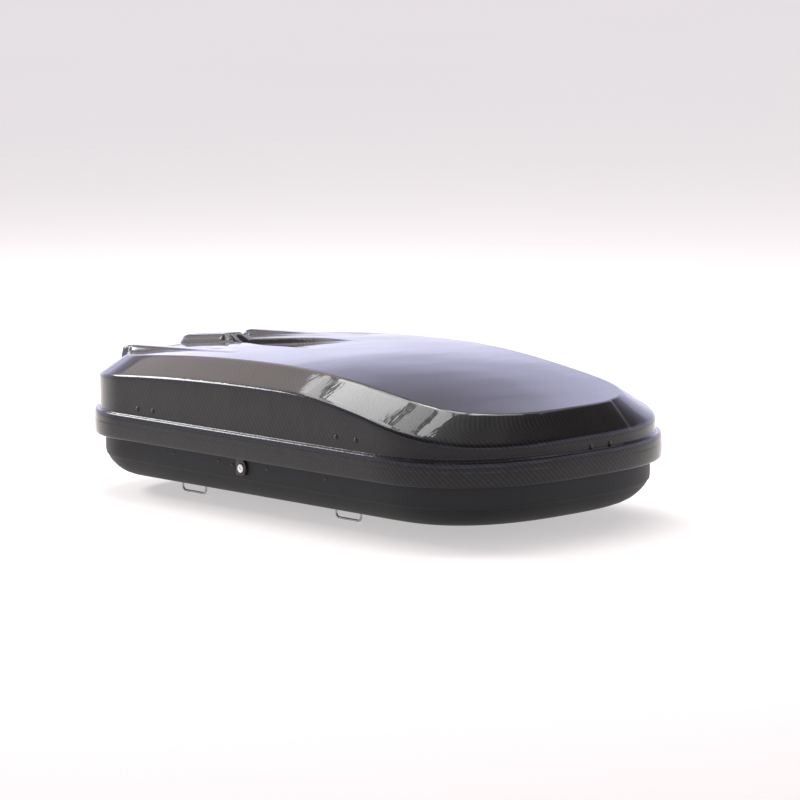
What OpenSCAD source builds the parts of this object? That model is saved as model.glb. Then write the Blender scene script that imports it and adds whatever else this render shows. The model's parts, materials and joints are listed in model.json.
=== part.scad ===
// Roof cargo box. The lid swings up on hinges along the left side (+Y) and locks along the right (-Y).
// The origin lies on the plane of the crossbars' tops, in the middle of the box. +X is the nose.

/* [Overall] */
// Length from tail to nose
box_l = 1500; // [1240:10:1800]
// Width over the rim
box_w = 830; // [690:5:1000]
// Height of the lid rim's lower edge above the crossbars
rim_z = 110; // [100:1:135]

/* [Plan outline] */
// Distance from the nose at which the sides begin to curve in
nose_run = 335; // [280:5:420]
// Roundness of the nose, 2 is an ellipse and more is squarer
nose_power = 2.6; // [2.2:0.1:3.2]
// Radius of the rim's two tail corners
tail_r = 215; // [190:5:240]
// How far the tail bows out in its middle
tail_bow = 8; // [4:1:12]

/* [Lid] */
// Height of the rim band
rim_h = 64; // [58:1:76]
// Wall of both shells
wall = 3.5; // [3:0.5:4.5]
// Depth of the ledge from the rim's face in to the lid's wall
ledge = 14.5; // [14:0.5:18]
// Height of the wall's top crease above the rim band, at its highest
crease_peak = 116; // [106:1:136]
// Height of the same crease at the nose
crease_nose = 27.5; // [26:0.5:36]
// Height of the top panel's edge above the rim band, at its highest
panel_peak = 161; // [148:1:181]
// Height of the top panel's edge at the nose
panel_nose = 67.5; // [61:0.5:81]
// Rise of the top panel from its edge to its middle
panel_crown = 8.5; // [6:0.5:14]
// Distance from the rim's face in to the top panel along the sides
panel_side = 113; // [100:1:125]

/* [Base] */
// Distance from the rim's face in to the base's upright wall
base_inset = 28; // [27:0.5:32]
// Height of the base's flange above the rim's lower edge
flange_h = 44; // [43:0.5:48]
// Thickness of the rubber pads that lie on the crossbars
pad_t = 4; // [3:0.5:6]

/* [Clamps] */
// Distance from the tail to the tail crossbar
tail_bar_gap = 320; // [300:5:370]
// Distance between the two crossbars
bar_spacing = 580; // [540:5:640]
// Distance of each clamp in from the rim's face
clamp_inset = 180; // [175:5:200]
// Distance between the two legs of a clamp
leg_gap = 90; // [84:1:100]
// Depth of the clamp below the crossbar's top
clamp_drop = 38; // [32:1:45]
// Diameter of the clamp's rod
rod_d = 6; // [5:0.5:8]
// Travel of a clamp each way along its slot
clamp_travel = 50; // [30:5:60]
// Outer radius of a star knob
knob_r = 19; // [16:1:22]
// Height of a star knob
knob_h = 18; // [14:1:22]

/* [Lock] */
// Position of the key lock along the box
lock_x = -65; // [-100:5:0]
// Diameter of the lock's turning face
lock_d = 20; // [16:1:22]
// Height of the lock below the rim's lower edge
lock_drop = 26; // [24:1:28]
// Travel of the locking bar when the key turns a quarter
bar_travel = 19.8; // [17:0.1:20]
// Distance from the tail to the tail lid catch
tail_catch_gap = 332; // [315:1:370]
// Distance of the nose lid catch behind the place where the sides curve in
nose_catch_gap = 88; // [75:1:125]

/* [Lifters] */
// Sideways place of the lid end of the gas struts
strut_lid_y = 45; // [30:1:60]
// Distance from the rim's face in to the base end of the gas struts
strut_base_inset = 130; // [125:1:145]
// Diameter of a gas strut's cylinder
strut_d = 18; // [15:0.5:18]
// Distance of the nose strut from the nose
nose_strut_gap = 120; // [115:1:135]
// Distance of the tail strut from the tail
tail_strut_gap = 80; // [76:1:95]

/* [Hidden] */
$fn = 32;
eps = 0.01;

// running clearance of a shaft in its hole, and the gap that keeps sliding faces apart
fit = 0.05;
slip = 0.3;

// points round the outline
tail_steps = 3;
corner_steps = 8;
side_steps = 10;
nose_steps = 14;

half_l = box_l / 2;
half_w = box_w / 2;
nose_x = half_l - nose_run;
flange_z = rim_z + flange_h;
rim_top = rim_z + rim_h;
flange_t = wall;
rim_inner = 5;
rim_play = 2;
lid_inner = ledge + wall;
base_inner = base_inset + wall;
floor_z = pad_t;
floor_top = floor_z + wall;
ledge_under = rim_h - 6;
wall_y = half_w - base_inner;
tail_bar_x = tail_bar_gap - half_l;
nose_bar_x = tail_bar_x + bar_spacing;
clamp_y = half_w - clamp_inset;
tail_catch_x = tail_catch_gap - half_l;
nose_catch_x = nose_x - nose_catch_gap;
strut_base_y = half_w - strut_base_inset;

// half of the outline, from the middle of the tail to the tip of the nose, on the +Y side
function half_outline(tail, side, nose, radius) =
    let (xt = tail - half_l, xn = half_l - nose, w = half_w - side)
    concat(
        [for (i = [0 : tail_steps]) let (y = (w - radius) * i / tail_steps)
            [xt - tail_bow * (1 - pow(y / (w - radius), 2)), y]],
        [for (i = [1 : corner_steps]) let (a = 90 * i / corner_steps)
            [xt + radius - radius * cos(a), w - radius + radius * sin(a)]],
        [for (i = [1 : side_steps]) [xt + radius + (nose_x - xt - radius) * i / side_steps, w]],
        [for (i = [1 : nose_steps]) let (a = 90 * i / nose_steps)
            [nose_x + (xn - nose_x) * pow(sin(a), 2 / nose_power), w * pow(max(cos(a), 0), 2 / nose_power)]]);

// the whole outline, and one with the same inset all round
function outline(tail, side, nose, radius) =
    let (half = half_outline(tail, side, nose, radius), last = len(half) - 1)
    concat(half, [for (i = [last - 1 : -1 : 1]) [half[i].x, -half[i].y]]);
function even_outline(inset) = outline(inset + tail_bow, inset, inset, tail_r - inset);

// a ring of points at one height
function ring(inset, z) = [for (p = even_outline(inset)) [p.x, p.y, z]];

// height of a crease along the box: it drops gently from its peak to the tail, and in one long sweep
// to the nose
function crest(x, peak, low, peak_x, fall, run) = x < peak_x ? peak - fall * pow(x - peak_x, 2)
    : low + (peak - low) * (0.5 + 0.5 * cos(min((x - peak_x) / run, 1) * 180));

// the crease at the top of the wall
crease_x = 82;
crease_fall = 6e-5;
crease_run = half_l - crease_x + 25;
function crease_ring(inset, drop) = [for (p = even_outline(inset))
    [p.x, p.y, rim_top + crest(p.x, crease_peak, crease_nose, crease_x, crease_fall, crease_run) - drop]];

// rings of the top panel: share is 0 at the panel's edge and 1 at the middle of the lid
panel_x = -15;
panel_fall = 9.4e-5;
panel_run = half_l - panel_x + 220;
panel_tail = 56;
panel_tip = 65;
panel_r = 139;
panel_w = half_w - panel_side;
function panel_z(p) = rim_top + crest(p.x, panel_peak, panel_nose, panel_x, panel_fall, panel_run)
    + panel_crown * (1 - pow(min(abs(p.y) / panel_w, 1), 2));
function panel_ring(share, drop) =
    let (reach = (panel_w - 40) * share, r = panel_r * (1 - 0.85 * share))
    [for (p = outline(panel_tail + reach, panel_side + reach, panel_tip + reach, r))
        [p.x, p.y, panel_z(p) - drop]];

// triangles between neighbouring rings, and the strips that close an end ring across the centre line
function skin_faces(rings, count, closed) =
    [for (k = [0 : rings - (closed ? 1 : 2)]) for (i = [0 : count - 1])
        let (a = k * count + i, b = k * count + (i + 1) % count,
            c = ((k + 1) % rings) * count + i, d = ((k + 1) % rings) * count + (i + 1) % count)
        each [[a, c, b], [b, c, d]]];
function cap_faces(first, count, up) =
    [for (i = [0 : count / 2 - 1])
        let (a = first + i, b = first + i + 1, c = first + count - i - 1, d = first + (count - i) % count)
        each [for (face = concat(b == c ? [] : [[a, b, c]], a == d ? [] : [[a, c, d]]))
            up ? face : [face[2], face[1], face[0]]]];

module capped_skin(rings) {
    count = len(rings[0]);
    polyhedron(
        points = [for (r = rings) each r],
        faces = concat(skin_faces(len(rings), count, false), cap_faces(0, count, true),
            cap_faces((len(rings) - 1) * count, count, false)));
}

module closed_skin(rings) {
    polyhedron(points = [for (r = rings) each r], faces = skin_faces(len(rings), len(rings[0]), true));
}

// a flat plate that follows the inside of a wall, cut to a rectangle
module wall_plate(inset, x0, x1, y0, y1, z, t) {
    translate([0, 0, z]) linear_extrude(t) intersection() {
        polygon(even_outline(inset));
        translate([x0, y0]) square([x1 - x0, y1 - y0]);
    }
}

module along_x(x, y, z, r, l) {
    translate([x, y, z]) rotate([0, 90, 0]) cylinder(r = r, h = l);
}

module along_y(x, y, z, r, l) {
    translate([x, y, z]) rotate([-90, 0, 0]) cylinder(r = r, h = l);
}

// ---- lid ----
screw_r = 3;
tail_screw_z = rim_top + 18;
nose_screw_z = rim_top + 26;
lid_wall_y = half_w - lid_inner;
rail_z0 = rim_top + 8;
rail_z1 = rim_top + 38;
rail_t = 3;
catch_t = 3;
catch_w = 90;
side_screws = [for (dx = [-30, 29]) [tail_catch_x + dx, tail_screw_z],
    each [for (dx = [-35, 35]) [nose_catch_x + dx, nose_screw_z]]];
bracket_screw_dy = 32.5;
bracket_screw_z = rim_top + 5;

module side_screw_holes(r, y0, l) {
    for (s = side_screws) along_y(s[0], y0, s[1], r, l);
}

module bracket_screw_holes(r, x0, l) {
    for (s = [-1, 1]) along_x(x0, strut_lid_y + s * bracket_screw_dy, bracket_screw_z, r, l);
}

module lid_shell() {
    top = [0.95, 0.66, 0.33, 0];
    outer = concat([for (share = top) panel_ring(share, 0)],
        [crease_ring(ledge, 0), ring(ledge, rim_top - 1), ring(6, rim_top),
            ring(1.5, rim_top - 5), ring(0, rim_z + 36), ring(1, rim_z + 8), ring(3.5, rim_z)]);
    inner = concat([ring(rim_inner, rim_z), ring(rim_inner, rim_z + ledge_under),
            ring(lid_inner, rim_z + ledge_under), crease_ring(lid_inner, wall / 2)],
        [for (i = [3 : -1 : 0]) panel_ring(top[i], wall)]);
    color([0.16, 0.16, 0.18]) difference() {
        capped_skin(concat(outer, inner));
        side_screw_holes(screw_r, -half_w - 1, 40);
        bracket_screw_holes(screw_r, half_l - 40, 60);
        bracket_screw_holes(screw_r, -half_l - 20, 60);
    }
}

module lid_edge_rail() {
    color("silver") difference() {
        translate([tail_catch_x - 60, -lid_wall_y, rail_z0])
            cube([nose_catch_x - tail_catch_x + 120, rail_t, rail_z1 - rail_z0]);
        side_screw_holes(screw_r, -lid_wall_y - 1, rail_t + 2);
    }
}

// catch plate: bolted to the lid's rail, then stepping in past the base's flange to its peg
catch_y = wall_y - 1.5;
peg_z = rim_z + 8;
peg_r = 4;
bar_t = 3;
bar_y = catch_y - catch_t - 2.5;
module lid_catch(x) {
    outer_y = lid_wall_y - rail_t;
    step_z = flange_z + 12;
    color("dimgray") difference() {
        union() {
            translate([x - catch_w / 2, 0, 0]) rotate([90, 0, 90]) linear_extrude(catch_w)
                polygon([[-catch_y, peg_z - 10], [catch_t - catch_y, peg_z - 10],
                    [catch_t - catch_y, step_z + 4], [catch_t - outer_y, step_z + 14],
                    [catch_t - outer_y, rail_z1], [-outer_y, rail_z1], [-outer_y, step_z + 12],
                    [-catch_y, step_z + 2]]);
            along_y(x, -catch_y + catch_t - eps, peg_z, peg_r, bar_t + 6);
        }
        side_screw_holes(screw_r, -half_w, 60);
    }
}

module tail_catch() {
    lid_catch(tail_catch_x);
}

module nose_catch() {
    lid_catch(nose_catch_x);
}

// screws with a domed head outside, a shank through the layers and a nut inside
head_r = 6;
head_h = 3;
module screw_y(x, z, out_y, in_y, nut) {
    translate([x, out_y, z]) rotate([-90, 0, 0]) {
        rotate_extrude() intersection() {
            translate([0, -head_h]) square([head_r, head_h]);
            translate([0, 4.5]) circle(r = 7.5, $fn = 48);
        }
        cylinder(r = screw_r, h = in_y - out_y + nut);
    }
    translate([x, in_y, z]) rotate([-90, 0, 0]) difference() {
        cylinder(r = 5.5, h = nut, $fn = 6);
        translate([0, 0, -1]) cylinder(r = screw_r - eps, h = nut + 2);
    }
}

module lid_screws() {
    color("black") for (s = side_screws)
        screw_y(s[0], s[1], -(half_w - ledge), -lid_wall_y + rail_t + catch_t, 4);
}

// the lid brackets follow the end walls and carry a stub that meets the strut's eye
strut_z = rim_top - 2;
nose_strut_x = half_l - nose_strut_gap;
tail_strut_x = -half_l + tail_strut_gap;
eye_t = 8.5;
eye_r = 8;
stub_r = 4;
bracket_t = 3;
bracket_w = 100;
bracket_z = rim_top + 14;
module lid_bracket(x, side, reach) {
    ear_x = side * (abs(x) + eye_t / 2 + slip);
    x0 = min(ear_x, side * reach);
    x1 = max(ear_x, side * reach);
    color("dimgray") difference() {
        union() {
            wall_plate(lid_inner, x0, x1, strut_lid_y - bracket_w / 2, strut_lid_y + bracket_w / 2,
                bracket_z, bracket_t);
            difference() {
                wall_plate(lid_inner, x0, x1, strut_lid_y - bracket_w / 2, strut_lid_y + bracket_w / 2,
                    rim_top - 4, bracket_z - rim_top + 4 + eps);
                wall_plate(lid_inner + bracket_t, -half_l, half_l, -half_w, half_w, rim_top - 5, 40);
            }
            translate([min(ear_x, ear_x + side * 5), strut_lid_y - 14, strut_z - 10])
                cube([5, 28, bracket_z + bracket_t - strut_z + 10]);
        }
        bracket_screw_holes(screw_r, side > 0 ? half_l - 60 : -half_l - 20, 80);
    }
}

module nose_lid_bracket() {
    lid_bracket(nose_strut_x, 1, half_l);
}

module tail_lid_bracket() {
    lid_bracket(tail_strut_x, -1, half_l);
}

// the wall's face at a screw, worked out on the outline's own flats
function wall_x(pts, y, side) = [for (i = [0 : len(pts) - 2]) let (a = pts[i], b = pts[i + 1])
    if (side * a.x > 0 && min(a.y, b.y) <= y && max(a.y, b.y) > y)
        a.x + (b.x - a.x) * (y - a.y) / (b.y - a.y)][0];
module bracket_screw(y, side) {
    wall_line = even_outline(ledge);
    face = max([for (dy = [-head_r, 0, head_r]) abs(wall_x(wall_line, y + dy, side))]);
    back = abs(wall_x(even_outline(lid_inner + bracket_t), y, side));
    translate([side * face, y, bracket_screw_z]) rotate([0, side * 90, 0]) {
        cylinder(r1 = head_r, r2 = head_r - 2, h = head_h);
        translate([0, 0, back - face - 4]) cylinder(r = screw_r, h = face - back + 4);
    }
}

module bracket_screws() {
    color("black") for (side = [-1, 1]) for (s = [-1, 1])
        bracket_screw(strut_lid_y + s * bracket_screw_dy, side);
}

// ---- hinges ----
axis_y = half_w - 15;
axis_z = rim_z + 8;
knuckle_r = 6;
hinge_pin_r = 3;
leaf_t = 2.5;
hinge_w = 100;
knuckle_w = 34;
hinge_x = [tail_r - half_l + 115, (tail_r - half_l + nose_x) / 2 + 20, nose_x - hinge_w / 2 - 25];
leaf_holes = [-38, 38];
module leaf_screw_holes(x, y0, l, z) {
    for (dx = leaf_holes) along_y(x + dx, y0, z, 2.5, l);
}

module hinge_base_leaf(x) {
    face_y = half_w - base_inset;
    color("dimgray") difference() {
        union() {
            translate([x - hinge_w / 2, face_y, axis_z - 6]) cube([hinge_w, leaf_t, flange_h - 6]);
            translate([x - knuckle_w / 2, face_y, axis_z - 2]) cube([knuckle_w, axis_y - face_y, 4]);
            along_x(x - knuckle_w / 2, axis_y, axis_z, knuckle_r, knuckle_w);
        }
        along_x(x - hinge_w, axis_y, axis_z, hinge_pin_r, 2 * hinge_w);
        leaf_screw_holes(x, face_y - 1, leaf_t + 2, rim_z + 28);
    }
}

module hinge_lid_leaf(x) {
    face_y = half_w - rim_inner;
    side_w = (hinge_w - knuckle_w) / 2 - slip;
    color("gray") difference() {
        union() {
            translate([x - hinge_w / 2, face_y - leaf_t, axis_z - 6]) cube([hinge_w, leaf_t, flange_h - 10]);
            for (x0 = [x - hinge_w / 2, x + knuckle_w / 2 + slip]) {
                translate([x0, axis_y, axis_z - 2]) cube([side_w, face_y - axis_y - eps, 4]);
                along_x(x0, axis_y, axis_z, knuckle_r, side_w);
            }
        }
        along_x(x - hinge_w, axis_y, axis_z, hinge_pin_r + fit, 2 * hinge_w);
    }
}

module hinge_pin(x) {
    color("silver") {
        along_x(x - hinge_w / 2 - 1, axis_y, axis_z, hinge_pin_r, hinge_w + 2);
        for (x0 = [x - hinge_w / 2 - 3, x + hinge_w / 2 + 1]) along_x(x0, axis_y, axis_z, 4.5, 2);
    }
}

module hinge_screws() {
    color("black") for (x = hinge_x) for (dx = leaf_holes)
        translate([x + dx, half_w - base_inset + leaf_t, rim_z + 28]) rotate([90, 0, 0]) {
            cylinder(r = 2.5, h = leaf_t + wall + 3);
            translate([0, 0, -2]) cylinder(r1 = 3.5, r2 = 4.5, h = 2);
            translate([0, 0, leaf_t + wall]) cylinder(r = 4.5, h = 3);
        }
}

// ---- base ----
slot_w = rod_d + 2;
slot_l = leg_gap + 2 * clamp_travel + slot_w;
module floor_slot(x, y, z, h) {
    translate([x, y, z]) {
        translate([-(slot_l - slot_w) / 2, -slot_w / 2, 0]) cube([slot_l - slot_w, slot_w, h]);
        for (s = [-1, 1]) translate([s * (slot_l - slot_w) / 2, 0, 0]) cylinder(d = slot_w, h = h);
    }
}

lock_z = rim_z - lock_drop;
barrel_r = lock_d / 2 + 3;
lock_face_y = -(half_w - base_inset);
rivet_r = 2.5;
rivet_x = lock_x - 38;
rail_w = 50;
rail_rivet_gap = 23;
rail_rivet_x = [tail_bar_x - slot_l / 2 - rail_rivet_gap, (tail_bar_x + nose_bar_x) / 2,
    nose_bar_x + slot_l / 2 + rail_rivet_gap];
guide_x = [tail_catch_x + 90, lock_x - 90, lock_x + 90, nose_catch_x - 90];
guide_z = [rim_z - 18, rim_z + 36];

floor_inset = 112;
module base_tray() {
    outer = [ring(floor_inset, floor_z), ring(94, floor_z + 1), ring(74, floor_z + 9), ring(54, floor_z + 26),
        ring(38, floor_z + 46), ring(base_inset + 1, floor_z + 60), ring(base_inset, floor_z + 66),
        ring(base_inset, flange_z - flange_t), ring(rim_inner + rim_play, flange_z - flange_t)];
    inner = [ring(rim_inner + rim_play, flange_z), ring(base_inner, flange_z),
        ring(base_inner, floor_z + 67), ring(base_inner + 1, floor_z + 61), ring(42, floor_z + 48),
        ring(57, floor_z + 30), ring(76, floor_z + 13), ring(95, floor_top + 1),
        ring(floor_inset, floor_top)];
    color([0.12, 0.12, 0.12]) difference() {
        closed_skin([for (i = [len(outer) + len(inner) - 1 : -1 : 0])
            i < len(outer) ? outer[i] : inner[i - len(outer)]]);
        along_y(lock_x, lock_face_y - 5, lock_z, barrel_r, 20);
        along_y(rivet_x, lock_face_y - 5, lock_z + 4, rivet_r, 20);
        for (x = hinge_x) leaf_screw_holes(x, wall_y - 5, 20, rim_z + 28);
        for (x = guide_x) for (z = guide_z) along_y(x, lock_face_y - 5, z, rivet_r, 20);
    }
}

// the flat of the floor, welded all round into the tray, with the clamps' slots
module base_floor() {
    color([0.12, 0.12, 0.12]) difference() {
        translate([0, 0, floor_z]) linear_extrude(wall) polygon(even_outline(floor_inset));
        for (x = [tail_bar_x, nose_bar_x]) for (s = [-1, 1])
            floor_slot(x, s * clamp_y, floor_z - 1, wall + 2);
        for (x = rail_rivet_x) for (s = [-1, 1]) translate([x, s * clamp_y, floor_z - 1])
            cylinder(r = rivet_r, h = wall + 2);
    }
}

module base_seal() {
    seal_h = ledge_under - flange_h - 1;
    color("black") closed_skin([ring(17, flange_z), ring(17, flange_z + seal_h - 3),
        ring(15, flange_z + seal_h), ring(11, flange_z + seal_h), ring(9, flange_z + seal_h - 3),
        ring(9, flange_z)]);
}

rail_plate_t = 2;
module floor_rail(side) {
    x0 = rail_rivet_x[0] - 15;
    color("silver") difference() {
        translate([x0, side * clamp_y - rail_w / 2, floor_top])
            cube([rail_rivet_x[2] + 15 - x0, rail_w, rail_plate_t]);
        for (x = [tail_bar_x, nose_bar_x]) floor_slot(x, side * clamp_y, floor_top - 1, rail_plate_t + 2);
        for (x = rail_rivet_x) translate([x, side * clamp_y, floor_top - 1])
            cylinder(r = rivet_r, h = rail_plate_t + 2);
    }
}

module rail_rivets() {
    color("silver") for (x = rail_rivet_x) for (s = [-1, 1]) translate([x, s * clamp_y, 0]) {
        translate([0, 0, floor_z - 1.5]) cylinder(r1 = 3.5, r2 = 4.5, h = 1.5);
        translate([0, 0, floor_z - 0.5]) cylinder(r = rivet_r, h = wall + rail_plate_t + 1);
        translate([0, 0, floor_top + rail_plate_t]) cylinder(r1 = 5, r2 = 3, h = 2);
    }
}

pad_y = clamp_y - 70;
pad_l = 100;
pad_w = 60;
module bar_pads() {
    color([0.08, 0.08, 0.08]) for (x = [tail_bar_x, nose_bar_x]) for (s = [-1, 1])
        translate([x - pad_l / 2, s * pad_y - pad_w / 2, 0]) cube([pad_l, pad_w, pad_t]);
}

// ---- lock ----
esc_t = 6;
module lock_escutcheon() {
    color([0.1, 0.1, 0.1]) difference() {
        union() {
            intersection() {
                translate([lock_x - 17, lock_face_y - esc_t, lock_z - 17])
                    cube([36, esc_t, rim_z - lock_z + 14]);
                along_y(lock_x - 8, lock_face_y - esc_t, lock_z + 1, 26, esc_t);
            }
            along_y(lock_x, lock_face_y - esc_t - 1, lock_z, barrel_r, esc_t + 1 + wall + 1);
        }
        along_y(lock_x, lock_face_y - 20, lock_z, lock_d / 2 + fit, 50);
    }
}

module lock_rivet() {
    color([0.1, 0.1, 0.1]) translate([rivet_x, lock_face_y, lock_z + 4]) rotate([-90, 0, 0]) {
        translate([0, 0, -2]) cylinder(r1 = 3, r2 = 4.5, h = 2);
        cylinder(r = rivet_r, h = wall);
        translate([0, 0, wall]) cylinder(r = 4, h = 1.5);
    }
}

// the plug turns in the escutcheon's barrel; the cam sits on its inner end
cam_r = bar_travel / 2 / sin(45);
cam_pin_r = 3;
cam_t = 3;
cam_y = lock_face_y + wall + 1.5;
plug_l = cam_y - lock_face_y + esc_t + 1.5;
module lock_cylinder() {
    color("silver") difference() {
        along_y(lock_x, lock_face_y - esc_t - 1.5, lock_z, lock_d / 2, plug_l);
        translate([lock_x, 0, lock_z]) rotate([0, -45, 0])
            translate([-1, lock_face_y - esc_t - 2, -5]) cube([2, 10, 10]);
        along_y(lock_x, cam_y - 8, lock_z, 2, 10);
    }
}

module lock_cam() {
    color("dimgray") translate([lock_x, cam_y, lock_z]) rotate([-90, 0, 0]) rotate([0, 0, -45]) difference() {
        union() {
            cylinder(r = 9, h = cam_t);
            translate([-4, 2 - cam_r, 0]) cube([8, cam_r - 2, cam_t]);
            translate([0, -cam_r, 0]) cylinder(r = 5.5, h = cam_t);
            translate([0, -cam_r, cam_t - 1]) cylinder(r = cam_pin_r, h = bar_t + 3 - cam_y - bar_y - cam_t);
        }
        translate([0, 0, -1]) cylinder(r = 2, h = cam_t + 2);
    }
}

module cam_screw() {
    color("silver") {
        along_y(lock_x, cam_y - 8, lock_z, 2, cam_t + 8);
        along_y(lock_x, cam_y + cam_t, lock_z, 4, 1.2);
    }
}

// flat bar with a J-shaped slot at each catch and a tab that the cam's pin drives
bar_z0 = rim_z - 8;
bar_z1 = rim_z + 26;
slot_room = 1;
module catch_slot(x) {
    w = 2 * (peg_r + slot_room);
    translate([x - w / 2, -bar_y - 1, peg_z - w / 2]) cube([w, bar_t + 2, bar_z1 - peg_z + w]);
    translate([x - w / 2 - bar_travel, -bar_y - 1, peg_z - w / 2]) cube([w + bar_travel, bar_t + 2, w]);
}

module lock_bar() {
    pin_x = lock_x - bar_travel / 2;
    color("silver") difference() {
        union() {
            translate([tail_catch_x - 45, -bar_y, bar_z0])
                cube([nose_catch_x - tail_catch_x + 75, bar_t, bar_z1 - bar_z0]);
            translate([pin_x - 11, -bar_y, lock_z - 2]) cube([22, bar_t, bar_z0 - lock_z + 3]);
        }
        catch_slot(tail_catch_x);
        catch_slot(nose_catch_x);
        translate([pin_x - 4, -bar_y - 1, lock_z + 2]) cube([8, bar_t + 2, cam_r + 4]);
    }
}

// guides: a bracket above and below the bar, riveted through the base's wall
module bar_guides() {
    guide_w = 26;
    inner_y = -bar_y + bar_t + slip;
    color([0.1, 0.1, 0.1]) for (x = guide_x) {
        difference() {
            translate([x - guide_w / 2, -wall_y, guide_z[0] - 8])
                cube([guide_w, inner_y + 3 + wall_y, guide_z[1] - guide_z[0] + 12]);
            translate([x - guide_w / 2 - 1, -bar_y - slip, bar_z0 - slip])
                cube([guide_w + 2, bar_t + 2 * slip, bar_z1 - bar_z0 + 2 * slip]);
            for (z = guide_z) along_y(x, -wall_y - 1, z, rivet_r, 30);
        }
        for (z = guide_z) {
            along_y(x, -wall_y - wall, z, rivet_r, inner_y + 3 + wall_y + wall);
            translate([x, -wall_y - wall, z]) rotate([90, 0, 0]) cylinder(r1 = 4.5, r2 = 3, h = 1.5);
        }
    }
}

// ---- gas struts ----
strut_base_z = rim_z + 12;
stud_r = 4;
strut_dy = strut_base_y - strut_lid_y;
strut_dz = strut_z - strut_base_z;
strut_l = sqrt(pow(strut_dy, 2) + pow(strut_dz, 2));
strut_angle = atan2(strut_dz, strut_dy);
body_l = strut_l - 60;
piston_z = body_l - 90;
piston_r = strut_d / 2 - 1.5;

// places a strut with its length along the local +Z, from the base eye to the lid eye
module strut_place(x) {
    translate([x, strut_base_y, strut_base_z]) rotate([90 - strut_angle, 0, 0]) children();
}

module strut_cylinder(x) {
    color([0.1, 0.1, 0.1]) strut_place(x) difference() {
        union() {
            rotate_extrude() polygon([[0, 6], [4, 6], [4, 14], [strut_d / 2 - 1, 16], [strut_d / 2, 18],
                [strut_d / 2, body_l - 1], [strut_d / 2 - 1, body_l], [stub_r + fit, body_l],
                [stub_r + fit, body_l - 12], [piston_r + fit, body_l - 12], [piston_r + fit, 24], [0, 24]]);
            translate([-eye_t / 2, 0, 0]) rotate([0, 90, 0]) cylinder(r = eye_r, h = eye_t);
        }
        translate([-20, 0, 0]) rotate([0, 90, 0]) cylinder(r = stud_r + fit, h = 40);
    }
}

module strut_rod(x) {
    color("silver") strut_place(x) difference() {
        union() {
            translate([0, 0, piston_z]) cylinder(r = piston_r, h = 10);
            translate([0, 0, piston_z + 5]) cylinder(r = stub_r, h = strut_l - piston_z - 11);
            translate([-eye_t / 2, 0, strut_l]) rotate([0, 90, 0]) cylinder(r = eye_r, h = eye_t);
        }
        translate([-20, 0, strut_l]) rotate([0, 90, 0]) cylinder(r = 3, h = 40);
    }
}

// corner gusset in the base with an upright ear and a headed stud for the strut
module base_bracket(x, side) {
    ear_x = side * (abs(x) - eye_t / 2 - slip - 3);
    y0 = strut_base_y - eye_r;
    gusset_z = strut_base_z - strut_d / 2 - 8;
    color("dimgray") {
        wall_plate(base_inner, side > 0 ? ear_x : -half_l, side > 0 ? half_l : ear_x,
            y0, half_w, gusset_z, 3);
        translate([min(ear_x, ear_x + side * 3), y0, gusset_z])
            cube([3, 2 * eye_r, strut_base_z + eye_r - gusset_z]);
        stud_l = eye_t + 2 * slip + 3;
        along_x(min(ear_x, ear_x + side * stud_l), strut_base_y, strut_base_z, stud_r, stud_l);
        along_x(min(ear_x + side * stud_l, ear_x + side * (stud_l + 2)), strut_base_y, strut_base_z, 6, 2);
    }
}

// ---- crossbar clamps ----
bend_r = 12;
leg_top = floor_top + rail_plate_t + knob_h + 12;
plate_t = 3;
plate_z = floor_top + rail_plate_t + 0.2;
module u_clamp(x, y) {
    low = -clamp_drop + rod_d / 2;
    color("silver") translate([x, y, 0]) {
        for (s = [-1, 1]) {
            translate([s * leg_gap / 2, 0, low + bend_r]) cylinder(d = rod_d, h = leg_top - low - bend_r);
            translate([s * (leg_gap / 2 - bend_r), 0, low + bend_r]) rotate([90, 0, 0])
                rotate([0, 0, s > 0 ? 270 : 180])
                rotate_extrude(angle = 90) translate([bend_r, 0]) circle(d = rod_d);
        }
        along_x(-leg_gap / 2 + bend_r, 0, low, rod_d / 2, leg_gap - 2 * bend_r);
    }
}

module clamp_plate(x, y) {
    color("silver") translate([x, y, plate_z]) difference() {
        translate([-leg_gap / 2 - 16, -15, 0]) cube([leg_gap + 32, 30, plate_t]);
        for (s = [-1, 1]) translate([s * leg_gap / 2, 0, -1]) cylinder(r = rod_d / 2 + 0.3, h = plate_t + 2);
    }
}

module star_knob(x, y) {
    lobe_r = 6.5;
    hub_r = knob_r - lobe_r;
    color([0.1, 0.1, 0.1]) translate([x, y, plate_z + plate_t + slip]) difference() {
        union() {
            cylinder(r = hub_r, h = knob_h);
            for (i = [0 : 4]) rotate([0, 0, 72 * i]) translate([hub_r, 0, 2])
                cylinder(r = lobe_r, h = knob_h - 2);
        }
        translate([0, 0, -1]) cylinder(r = rod_d / 2 + fit, h = knob_h + 2);
    }
}

lid_shell();
lid_edge_rail();
tail_catch();
nose_catch();
lid_screws();
bracket_screws();
nose_lid_bracket();
tail_lid_bracket();
hinge_lid_leaf(hinge_x[0]);  // hinge_lid_leaf_1
hinge_lid_leaf(hinge_x[1]);  // hinge_lid_leaf_2
hinge_lid_leaf(hinge_x[2]);  // hinge_lid_leaf_3
base_tray();
base_floor();
base_seal();
floor_rail(1);  // floor_rail_left
floor_rail(-1);  // floor_rail_right
rail_rivets();
bar_pads();
hinge_base_leaf(hinge_x[0]);  // hinge_base_leaf_1
hinge_base_leaf(hinge_x[1]);  // hinge_base_leaf_2
hinge_base_leaf(hinge_x[2]);  // hinge_base_leaf_3
hinge_pin(hinge_x[0]);  // hinge_pin_1
hinge_pin(hinge_x[1]);  // hinge_pin_2
hinge_pin(hinge_x[2]);  // hinge_pin_3
hinge_screws();
lock_escutcheon();
lock_rivet();
lock_cylinder();
lock_cam();
cam_screw();
lock_bar();
bar_guides();
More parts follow.
